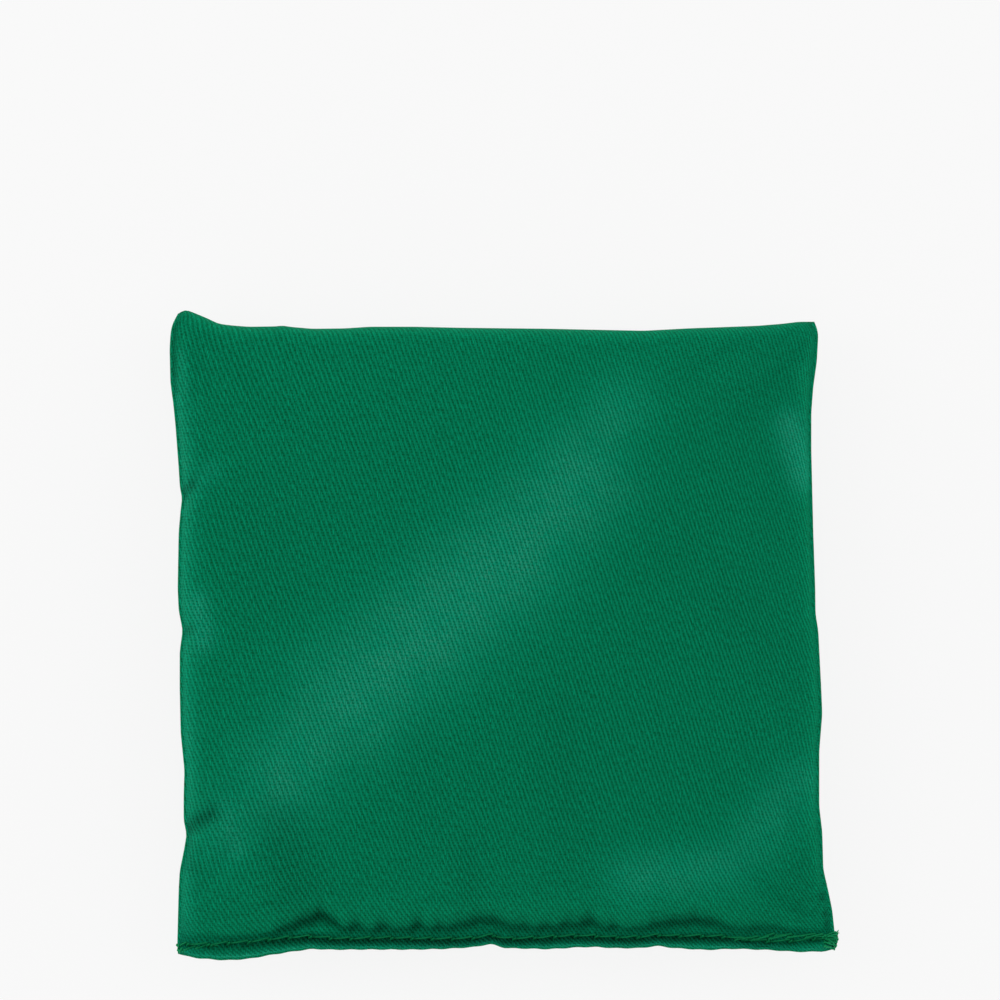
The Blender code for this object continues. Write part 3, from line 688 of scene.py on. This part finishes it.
def drill_material():
    """Cotton drill: round warp yarns that float over three weft yarns, dyed green, matt with a nap, with
    painted shade and highlights.
    """
    material, tree, shader = new_material("green cotton drill", DRILL_FINISH)
    cloth = add_node(tree, "UVMap", uv_map="Weave")
    scale = (1 / END_PITCH, 1 / PICK_PITCH, 1)
    yarns = add_node(tree, "Mapping", {"Vector": cloth, "Scale": scale})
    noise_inputs = {"Vector": yarns, "Scale": YARN_WANDER_SCALE, "Detail": 3}
    wander = add_node(tree, "TexNoise", noise_inputs).node.outputs["Color"]
    wander = add_node(tree, "VectorMath", {0: wander, 1: (0.5, 0.5, 0.5)}, operation="SUBTRACT")
    woven = add_node(tree, "VectorMath", {0: wander, 1: YARN_WANDER, 2: yarns}, operation="MULTIPLY_ADD")
    end = add_node(tree, "SeparateXYZ", {0: woven})
    pick = end.node.outputs[1]
    end_number = add_node(tree, "Math", {0: end}, operation="FLOOR")
    step = add_node(tree, "Math", {0: pick, 1: end_number}, operation="ADD")
    in_repeat = add_node(tree, "Math", {0: step, 1: FLOAT_PICKS + 1}, operation="FLOORED_MODULO")
    turn = math.pi / FLOAT_PICKS
    arch = add_node(tree, "Math", {0: in_repeat, 1: turn, 2: -turn}, operation="MULTIPLY_ADD")
    arch = add_node(tree, "Math", {0: arch}, operation="SINE")
    arch = add_node(tree, "Math", {0: arch, 1: 0}, operation="MAXIMUM")
    arch = add_node(tree, "Math", {0: arch, 1: FLOAT_POWER}, operation="POWER")
    rounds = []
    for yarn in (end, pick):
        angle = add_node(tree, "Math", {0: yarn, 1: math.pi}, operation="MULTIPLY")
        sine = add_node(tree, "Math", {0: angle}, operation="SINE")
        rounds.append(add_node(tree, "Math", {0: sine}, operation="ABSOLUTE"))
    warp = add_node(tree, "Math", {0: arch, 1: rounds[0]}, operation="MULTIPLY")
    weft = add_node(tree, "Math", {0: rounds[1], 1: WEFT_RELIEF_SHARE}, operation="MULTIPLY")
    height = add_node(tree, "Math", {0: warp, 1: weft}, operation="MAXIMUM")

    uneven = add_node(tree, "TexNoise", {"Vector": yarns, "Scale": DYE_SCALE, "Detail": 2})
    dye = {0: uneven, 1: DYE_SPREAD_SHARE, 2: -DYE_SPREAD_SHARE / 2}
    dyed = add_node(tree, "Math", dye, operation="MULTIPLY_ADD")
    # Painted shade between the floats and painted light on their tops, mixed with the dye's uneven places.
    tone = add_node(tree, "Math", {0: height, 1: dyed}, operation="ADD")
    # Painted highlights: brighter float tops, with pale patches and flecks.
    rubbed = add_node(tree, "Attribute", attribute_name="rubbed").node.outputs["Fac"]
    float_highlight = add_node(tree, "Math", {0: rubbed, 1: height}, operation="MULTIPLY")
    float_highlight = add_node(tree, "Math", {0: float_highlight, 1: FLOAT_HIGHLIGHT_SHARE}, operation="MULTIPLY")
    cloudy = add_node(tree, "TexNoise", {"Vector": cloth, "Scale": 1 / HIGHLIGHT_PATCH, "Detail": 2})
    clouds = {0: cloudy, 1: HIGHLIGHT_PATCH_GAIN, 2: HIGHLIGHT_PATCH_OFFSET}
    cloudy = add_node(tree, "Math", clouds, operation="MULTIPLY_ADD", use_clamp=True)
    flecked = add_node(tree, "TexNoise", {"Vector": yarns, "Scale": FLECK_SCALE, "Detail": 3})
    flecks = {0: flecked, 1: FLECK_GAIN, 2: FLECK_OFFSET}
    flecked = add_node(tree, "Math", flecks, operation="MULTIPLY_ADD", use_clamp=True)
    haze_highlight = add_node(tree, "Math", {0: rubbed, 1: HAZE_HIGHLIGHT_POWER}, operation="POWER")
    for part in (cloudy, flecked, height, HAZE_HIGHLIGHT_SHARE):
        haze_highlight = add_node(tree, "Math", {0: haze_highlight, 1: part}, operation="MULTIPLY")
    # Painted shade, darkest between the floats.
    hollow = add_node(tree, "Attribute", attribute_name="hollow").node.outputs["Fac"]
    shade_by_height = {0: height, 1: -PAINTED_SHADE_SHARE * PAINTED_SHADE_LIFT_SHARE, 2: PAINTED_SHADE_SHARE}
    shade_amount = add_node(tree, "Math", shade_by_height, operation="MULTIPLY_ADD")
    shade_amount = add_node(tree, "Math", {0: hollow, 1: shade_amount}, operation="MULTIPLY")
    colour = linear(DRILL_SHADED_GREEN)
    coats = ((tone, DRILL_LIT_GREEN), (float_highlight, FLOAT_HIGHLIGHT_COLOUR), (haze_highlight, HAZE_HIGHLIGHT_COLOUR), (shade_amount, PAINTED_SHADE_COLOUR))
    for share, coat in coats:
        mixed = {0: share, 6: colour, 7: linear(coat)}
        colour = add_node(tree, "Mix", mixed, data_type="RGBA").node.outputs[2]
    bump = add_node(tree, "Bump", {"Height": height, "Strength": 1, "Distance": YARN_RELIEF})
    tree.links.new(colour, shader.inputs["Base Color"])
    tree.links.new(bump, shader.inputs["Normal"])
    return material


kept = ~cut.ravel()
u, v = laid_flat(points, face, lift)
u = u + SEAM_DRAG_SHARE * DRAG_REACH * (1 - np.exp(-along / DRAG_REACH)) * (face == FRONT)
add_weave_map(cover, u.ravel()[kept], v.ravel()[kept])
# Where the painted highlights and the painted shade fall on the front.
for name, strength in (("rubbed", painted_highlight_strength), ("hollow", painted_shade_strength)):
    values = strength(across, along) * ((face == FRONT) & (lift == 1))
    cover.data.attributes.new(name, "FLOAT", "POINT").data.foreach_set("value", values.ravel()[kept])
cover.data.materials.append(drill_material())
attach(cover, "root")
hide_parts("cover")

# The sewing threads: three-ply polyester in a lighter green, a needle thread and a bobbin thread to each
# seam, which loop round each other in every needle hole. The closing seam is sewn last, from the outside
# and through both faces.

THREAD_DIAMETER = 0.4 * MM
THREAD_SINK_SHARE = 0.28  # of its diameter that a stitch is pressed into the cloth
LOCK_DROP = 0.3 * MM  # from the line of the closing stitches down to where its two threads lock
HOLE_SPREAD = 0.24 * MM  # from a hole's middle to the leg of a stitch that goes into it, both ways
PLY_TWIST = 1.3 * MM  # length over which the plies turn once
PLY_DEPTH_SHARE = 0.22  # of the radius, between two plies
PLIES = 3
ROUND_STEPS = 12  # facets round a thread
THREAD_STEP = 0.14 * MM  # their length
STITCH_POINTS = 5  # places at which a stitch follows the cloth
BEND_BLUR = 0.12 * MM  # over which a thread's bends are rounded
BEND_BLUR_STEPS = 3  # of a thread to each side, that are averaged for that
SIDE_STITCH_INSET = 1.6 * MM  # from the side fold to its stitches
SIDE_STITCH_TOP = 4 * MM  # from the top fold to the first side stitch
SIDE_STITCH_FOOT = 10 * MM  # from the lip to the last side stitch
SIDE_STITCH_LEVEL = CLOTH_GAP / 2 + CLOTH_THICKNESS
LAST_HOLE = 1.1 * MM  # from the right side to the last needle hole of the closing seam
THREAD_TAIL = 1.2 * MM  # before a seam's first hole

# The back-tack at the right: back over the stitches, forward again and round the side to the knotted end,
# as (share across, height over the lip's edge as a share of the cover's width, thread diameters that it
# lies higher on the threads below). The short tack at the left is where the seam starts.
BACK_TACK_SHARES = (
    (0.975, 0.0268, 0.3), (0.943, 0.0262, 0.4), (0.918, 0.0258, 0.4), (0.895, 0.0208, 0.4),
    (0.872, 0.0178, 0.3),
)
FORWARD_TACK_SHARES = (
    (0.862, 0.0172, 0.3), (0.886, 0.018, 0.7), (0.91, 0.0205, 0.8), (0.935, 0.0242, 0.8),
    (0.96, 0.0248, 0.8), (0.985, 0.0265, 0.6), (1.001, 0.0262, 0.4), (0.989, 0.0215, 0.8),
    (1.002, 0.0165, 0.3), (0.987, 0.0165, 0.9), (1.001, 0.0095, 0.3), (0.988, 0.0115, 0.9),
    (1.0, 0.0045, 0.3), (0.992, 0.021, 1.3), (1.001, 0.0225, 0.9), (0.99, 0.0255, 1.2),
)
START_TACK_SHARES = (
    (0.052, 0.0212, 0), (0.03, 0.0168, 0), (0.01, 0.0105, 0), (0.003, 0.0085, 0.1),
    (0.002, 0.0145, 0.2),
)
TAIL_END_SHARES = (1.002, 0.0262)  # where the knotted end of the closing thread points
FRAY_TURNS = (-1.0, -0.3, 0.2, 0.9)  # radians that each loose fibre bends away from the thread's end
FRAY_LENGTH = 0.9 * MM
FRAY_UNEVEN_SHARE = 0.4  # of that length, by which a wave makes the fibres longer and shorter
FRAY_WAVE = 3  # radians of that wave from one fibre to the next
FRAY_WIDTH = 0.16 * MM


def outer_level(across, along):
    """Height over the seams' plane of the face's outer side, near the closing stitches."""
    rise = fan_height(across, along) - groove_depth(across, along)
    return fold_level(along) + rise + CROWN_HEIGHT * swell(across, along)


def closing_holes():
    """(across, along, height on other threads) of the closing seam's needle holes in sewing order."""
    stitches = round((COVER_WIDTH - LAST_HOLE - FIRST_HOLE) / STITCH_LENGTH)
    across = [FIRST_HOLE + STITCH_LENGTH * stitch for stitch in range(stitches)]
    shares = [x / COVER_WIDTH for x in (*across, COVER_WIDTH - LAST_HOLE)]
    run = [(share, float(seam_line_share(share)), 0) for share in shares]
    holes = np.array([*START_TACK_SHARES, *run, *BACK_TACK_SHARES, *FORWARD_TACK_SHARES])
    return holes * (COVER_WIDTH, COVER_WIDTH, THREAD_DIAMETER)


def side_holes(across):
    """(across, along, 0) of a side seam's needle holes, from the top down."""
    top, foot = COVER_LENGTH - SIDE_STITCH_TOP, SIDE_STITCH_FOOT
    return np.array([(across, along, 0) for along in [top] + evenly(top, foot, STITCH_LENGTH)])


def round_the_side(across):
    """Share of its height on the cloth that a thread keeps at a point, less beyond the cover's sides."""
    beyond = np.maximum(abs(across - COVER_WIDTH / 2) - COVER_WIDTH / 2, 0)
    return np.sqrt(1 - np.clip(beyond / SIDE_FOLD_HEIGHT, 0, 1) ** 2)


def stitched(holes, side, level_at, lock_share):
    """Path of the thread on one side of the cloth, which loops round the other one in each needle hole.

    The two threads lock at a share of the way from the middle of the cloth to its front.
    """
    places, stack = holes[:, :2], holes[:, 2]
    ahead = np.gradient(places, axis=0)
    ahead = ahead / np.linalg.norm(ahead, axis=1)[:, None]
    left = np.stack((-ahead[:, 1], ahead[:, 0]), axis=1)
    slant = HOLE_SPREAD * (side * left - ahead)
    tail = THREAD_TAIL * ahead[0]
    first = places[0] + slant[0]
    path = [(*(first - tail), stack[0], 1), (*first, stack[0], 1)]
    for number, hole in enumerate(places):
        path += [(*(hole + slant[number]), 0, 0), (*(hole - slant[number]), 0, 0)]
        if number + 1 < len(places):
            start = np.array((*(hole - slant[number]), stack[number], 1))
            end = np.array((*(places[number + 1] + slant[number + 1]), stack[number + 1], 1))
            path += list(np.linspace(start, end, STITCH_POINTS))
    x, y, stacked, on_cloth = np.array(path).T
    over = level_at(x, y) * round_the_side(x) + THREAD_DIAMETER * (0.5 - THREAD_SINK_SHARE) + stacked
    lock = side * lock_share * level_at(x, y) - THREAD_DIAMETER / 2
    level = np.where(on_cloth == 1, over, lock)
    y = y - LOCK_DROP * lock_share * (on_cloth == 0)
    return np.stack((*place(x, y), SEAM_HEIGHT + side * level), axis=1)


def frayed(path):
    """Short paths of the loose fibres at the end of a thread, which fan out as they leave it."""
    end = path[-1]
    ahead = Vector(path[-1] - path[-3]).normalized()
    fibres = []
    for number, turn in enumerate(FRAY_TURNS):
        bend = Euler((0, 0, turn)).to_matrix()
        length = FRAY_LENGTH * (1 - FRAY_UNEVEN_SHARE + FRAY_UNEVEN_SHARE * math.cos(FRAY_WAVE * number))
        middle = end + np.array((ahead + bend @ ahead) * length / 3)
        fibres.append(np.array((end, middle, middle + np.array(bend @ ahead) * length / 2)))
    return fibres


def evened(path):
    """The path's points at even steps of THREAD_STEP, with its bends rounded over BEND_BLUR."""
    run = np.cumsum(np.linalg.norm(np.diff(path, axis=0, prepend=path[:1]), axis=1))
    steps = np.arange(0, run[-1], THREAD_STEP)
    even = np.stack([np.interp(steps, run, part) for part in path.T], axis=1)
    count = BEND_BLUR_STEPS
    weights = fading(np.arange(-count, count + 1) * THREAD_STEP, BEND_BLUR)
    padded = np.pad(even, ((count, count), (0, 0)), mode="edge")
    return sum(w * padded[k : k + len(even)] for k, w in enumerate(weights)) / weights.sum()


def swept(path, diameter, sideways):
    """Corners and faces of a twisted thread of three plies along a path that never runs sideways."""
    path = evened(path)
    along_thread = np.gradient(path, axis=0)
    along_thread = along_thread / np.linalg.norm(along_thread, axis=1)[:, None]
    up = np.cross(along_thread, sideways)
    up = up / np.linalg.norm(up, axis=1)[:, None]
    beside = np.cross(up, along_thread)
    turn = 2 * math.pi * np.arange(ROUND_STEPS) / ROUND_STEPS
    radius = diameter / 2 * (1 - PLY_DEPTH_SHARE * (0.5 + 0.5 * np.cos(PLIES * turn)))
    angle = turn + 2 * math.pi * THREAD_STEP / PLY_TWIST * np.arange(len(path))[:, None]
    rings = path[:, None] + (np.cos(angle) * radius)[..., None] * up[:, None]
    rings = rings + (np.sin(angle) * radius)[..., None] * beside[:, None]
    corners = np.arange(len(path) * ROUND_STEPS).reshape(len(path), ROUND_STEPS)
    after = np.roll(corners, -1, axis=1)
    faces = np.stack((corners[:-1], after[:-1], after[1:], corners[1:]), axis=-1).reshape(-1, 4).tolist()
    ends = [corners[0, ::-1].tolist(), corners[-1].tolist()]
    return rings.reshape(-1, 3).tolist(), faces + ends


def add_thread(name, strands, sideways):
    """One object of all strands, each a path and a diameter."""
    verts, faces = [], []
    for path, diameter in strands:
        strand_verts, strand_faces = swept(path, diameter, sideways)
        faces += [[len(verts) + corner for corner in face] for face in strand_faces]
        verts += strand_verts
    thread = add_object(name, bpy.data.meshes.new(name))
    thread.data.from_pydata(verts, [], faces)
    thread.data.shade_smooth()
    return thread


THREAD_GREEN = "#009f60"
THREAD_SHADE = "#005a38"
FIBRE_PITCH = 0.05 * MM  # from one bundle of fibres to the next
FIBRE_COARSENING = 4  # times that pitch, at which the fibres are drawn so that they show
THREAD_FINISH = {
    "Roughness": 0.5, "Specular IOR Level": 0.12, "Sheen Weight": 0.05, "Sheen Tint": linear(THREAD_GREEN),
}


def thread_material():
    """Spun polyester: a slight gloss on a brighter green than the cloth's, with fine fibres along it."""
    material, tree, shader = new_material("green polyester thread", THREAD_FINISH)
    spot = add_node(tree, "TexCoord").node.outputs["Object"]
    drawn_pitch = FIBRE_COARSENING * FIBRE_PITCH
    fibres = add_node(tree, "TexNoise", {"Vector": spot, "Scale": 1 / drawn_pitch, "Detail": 3})
    shades = {0: fibres, 6: linear(THREAD_SHADE), 7: linear(THREAD_GREEN)}
    colour = add_node(tree, "Mix", shades, data_type="RGBA").node.outputs[2]
    bump = add_node(tree, "Bump", {"Height": fibres, "Strength": 0.5, "Distance": FIBRE_PITCH})
    tree.links.new(colour, shader.inputs["Base Color"])
    tree.links.new(bump, shader.inputs["Normal"])
    return material


def side_level(across, along):
    """Height over the seams' plane of the turned-in cloth that a side seam's threads lie on."""
    return np.full_like(across, SIDE_STITCH_LEVEL)


polyester = thread_material()

# Each seam's name, needle holes, level of the cloth under its threads, share of the way from the middle of
# the cloth to its front at which they lock, and a direction in which they never run.
seams = (
    ("closing_seam", closing_holes(), outer_level, 1, (0.03, 1, 0.02)),
    ("left_seam", side_holes(SIDE_STITCH_INSET), side_level, 0, (1, 0, 0)),
    ("right_seam", side_holes(COVER_WIDTH - SIDE_STITCH_INSET), side_level, 0, (1, 0, 0)),
)
for seam, holes, level_at, lock_share, sideways in seams:
    for kind, side in (("needle_thread", FRONT), ("bobbin_thread", BACK)):
        path = stitched(holes, side, level_at, lock_share)
        strands = [(path, THREAD_DIAMETER)]
        if seam == "closing_seam":
            end = np.array((*place(*(COVER_WIDTH * np.array(TAIL_END_SHARES))), SEAM_HEIGHT))
            path = np.append(path, [end], axis=0)
            strands = [(path, THREAD_DIAMETER)] + [(fibre, FRAY_WIDTH) for fibre in frayed(path)]
        thread = add_thread(f"{seam}_{kind}_spun", strands, sideways)
        thread.data.materials.append(polyester)
        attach(thread, "root")
        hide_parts(f"{seam}_{kind}")

# The filling: loose pellets of natural polyethylene, cut off as short drums. They are poured in before the
# closing seam is sewn, and lie in the cover as they fell.

PELLET_WIDTH = 4 * MM
PELLET_HEIGHT = 2.8 * MM
PELLET_PITCH = 4.9 * MM  # from one to the next, a little more than a pellet's diagonal
PELLET_SIDES = 8
PELLET_JITTER = 0.3 * MM  # by which each is moved off its place, along each axis
PELLET_REACH = math.hypot(PELLET_WIDTH, PELLET_HEIGHT) / 2
PELLET_CLEAR = 0.8 * MM  # from a pellet to the cloth
PELLET_SEED = 7


def pellet_places(random):
    """Middles of the pellets, on a jittered close lattice in the cover, clear of its turned-in cloth."""
    row_pitch = PELLET_PITCH * math.sqrt(3) / 2
    layer_pitch = PELLET_PITCH * math.sqrt(2 / 3)
    spans = ((COVER_WIDTH, PELLET_PITCH), (COVER_LENGTH, row_pitch), (CROWN_TOP, layer_pitch))
    counts = [int(size / pitch) + 1 for size, pitch in spans]
    x, y, layer = (part.ravel() for part in np.indices(counts))
    across = PELLET_PITCH * (x + 0.5 * (y % 2) + 0.5 * (layer % 2))
    along = row_pitch * (y + (layer % 2) / 3)
    keep_off = PELLET_CLEAR + CLOTH_THICKNESS + PELLET_REACH
    height = keep_off + layer_pitch * layer
    nearby = [(0, 0), (PELLET_REACH, 0), (-PELLET_REACH, 0), (0, 2 * PELLET_REACH), (0, -PELLET_REACH)]
    over = np.min([swell(across + aside, along + ahead) for aside, ahead in nearby], axis=0)
    top = SEAM_HEIGHT + fold_level(along) + CROWN_HEIGHT * over - keep_off
    bottom = np.maximum(SEAM_HEIGHT - fold_level(along) - BELLY_DEPTH * over, 0) + keep_off
    from_side = side_distance(across)
    by_allowance = (from_side < ALLOWANCE_WIDTH + PELLET_REACH) | (along < HEM_WIDTH + PELLET_REACH)
    in_seam = by_allowance & (abs(height - SEAM_HEIGHT) < SIDE_STITCH_LEVEL + PELLET_REACH)
    inside = (height > bottom) & (height < top) & ~in_seam & (from_side > ALLOWANCE_WIDTH)
    spots = np.stack((*place(across, along), height), axis=1)[inside]
    return spots + random.uniform(-PELLET_JITTER, PELLET_JITTER, spots.shape)


def add_pellets(name):
    """All pellets as one mesh, each a short drum turned its own way."""
    random = np.random.default_rng(PELLET_SEED)
    drum = bmesh.new()
    radius = PELLET_WIDTH / 2
    bmesh.ops.create_cone(
        drum, segments=PELLET_SIDES, cap_ends=True, radius1=radius, radius2=radius, depth=PELLET_HEIGHT
    )
    drum.verts.ensure_lookup_table()
    corners = [vert.co.copy() for vert in drum.verts]
    sides = [[vert.index for vert in side.verts] for side in drum.faces]
    drum.free()
    verts, faces = [], []
    for spot in pellet_places(random):
        turned = Euler(random.uniform(0, 2 * math.pi, 3)).to_matrix()
        faces += [[len(verts) + corner for corner in side] for side in sides]
        verts += [turned @ corner + Vector(spot) for corner in corners]
    pellets = add_object(name, bpy.data.meshes.new(name))
    pellets.data.from_pydata(verts, [], faces)
    return pellets


# Natural polyethylene is milky white, lets light in a little and has a waxy gloss.
PELLET_WHITE = "#e6e4da"
PELLET_FINISH = {
    "Base Color": linear(PELLET_WHITE), "Roughness": 0.4,
    "Subsurface Weight": 0.2, "Subsurface Scale": PELLET_WIDTH,
}
polyethylene, _, _ = new_material("natural polyethylene", PELLET_FINISH)
pellets = add_pellets("pellets")
pellets.data.materials.append(polyethylene)
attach(pellets, "root")
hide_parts("filling")

# The floor is white card, which the camera sees a little paler than it is, so that the shadows stay faint.

FLOOR_SIZE = 3  # metres from its middle to its edges
FLOOR_DROP = 0.05 * MM  # under the lowest cloth, so that the two are never level
CARD_WHITE = "#f0f0f0"
CARD_SEEN = "#fbfbfb"
PALER_SHARE = 0.9  # of what the camera sees, that no shadow falls on
CARD_FINISH = {"Base Color": linear(CARD_WHITE), "Roughness": 0.9, "Specular IOR Level": 0.1}

floor_mesh = bmesh.new()
bmesh.ops.create_grid(floor_mesh, x_segments=1, y_segments=1, size=FLOOR_SIZE)
floor = add_object("floor", bpy.data.meshes.new("floor"))
floor_mesh.to_mesh(floor.data)
floor_mesh.free()
floor.location.z = -FLOOR_DROP
card, tree, shader = new_material("white card", CARD_FINISH)
ray_kinds = add_node(tree, "LightPath").node.outputs
seen = ray_kinds["Is Camera Ray"]
for kind in ("Is Glossy Ray", "Is Transmission Ray"):
    seen = add_node(tree, "Math", {0: seen, 1: ray_kinds[kind]}, operation="MAXIMUM")
paler = add_node(tree, "Math", {0: seen, 1: PALER_SHARE}, operation="MULTIPLY")
glow = add_node(tree, "Emission", {"Color": linear(CARD_SEEN), "Strength": 1})
surface = add_node(tree, "MixShader", {0: paler, 1: shader.outputs[0], 2: glow})
tree.links.new(surface, tree.nodes["Material Output"].inputs["Surface"])
floor.data.materials.append(card)

# Soft lamps to the left, above the top edge and to the right, in a white tent that is brightest low down.

LAMP_SIZE = 0.7  # metres
LAMPS = (  # name, place in metres, watts
    ("left lamp", (-0.95, 0.25, 0.6), 3.2),
    ("top lamp", (0.1, 1.0, 0.75), 0.7),
    ("right lamp", (0.95, 0.2, 0.6), 2.2),
)
OVERHEAD_LIGHT = 0.5  # of the white tent round the object
HORIZON_LIGHT = 5  # that is added to it at the horizon
HORIZON_FADE = 6  # power by which that dies out further up

for name, place_of_lamp, watts in LAMPS:
    lamp = bpy.data.lights.new(name, "AREA")
    lamp.size = LAMP_SIZE
    lamp.energy = watts
    lamp_object = add_object(name, lamp)
    lamp_object.location = place_of_lamp
    lamp_object.rotation_euler = (-lamp_object.location).to_track_quat("-Z", "Y").to_euler()

world = bpy.data.worlds.new("studio")
world.use_nodes = True
tree = world.node_tree
height = add_node(tree, "TexCoord").node.outputs["Generated"]
height = add_node(tree, "SeparateXYZ", {0: height}).node.outputs[2]
height = add_node(tree, "Math", {0: height}, operation="ABSOLUTE")
low = add_node(tree, "Math", {0: 1, 1: height}, operation="SUBTRACT", use_clamp=True)
low = add_node(tree, "Math", {0: low, 1: HORIZON_FADE}, operation="POWER")
tent = {0: low, 1: HORIZON_LIGHT, 2: OVERHEAD_LIGHT}
glow = add_node(tree, "Math", tent, operation="MULTIPLY_ADD")
tree.links.new(glow, tree.nodes["Background"].inputs["Strength"])
tree.nodes["Background"].inputs["Color"].default_value = (1, 1, 1, 1)
bpy.context.scene.world = world
bpy.context.scene.view_settings.view_transform = "Standard"

# The camera looks straight down on the front, framed as in the photograph.

PIXEL = 0.204 * MM  # on the bag, of the photograph's 1000
PHOTO_WIDTH_PIXELS = 1000
BAG_MIDDLE_PIXELS = (497, 638.5)
PHOTO_MIDDLE_PIXELS = (499.5, 499.5)
CAMERA_DISTANCE = 1.2  # metres
CAMERA_NEAR = 0.01  # metres, within which it sees nothing

camera_data = bpy.data.cameras.new("camera")
camera_data.lens = camera_data.sensor_width * CAMERA_DISTANCE / (PHOTO_WIDTH_PIXELS * PIXEL)
camera_data.clip_start = CAMERA_NEAR
camera = add_object("camera", camera_data)
right = (PHOTO_MIDDLE_PIXELS[0] - BAG_MIDDLE_PIXELS[0]) * PIXEL
up = (BAG_MIDDLE_PIXELS[1] - PHOTO_MIDDLE_PIXELS[1]) * PIXEL
camera.location = (right, up, SEAM_HEIGHT + CAMERA_DISTANCE)
bpy.context.scene.camera = camera
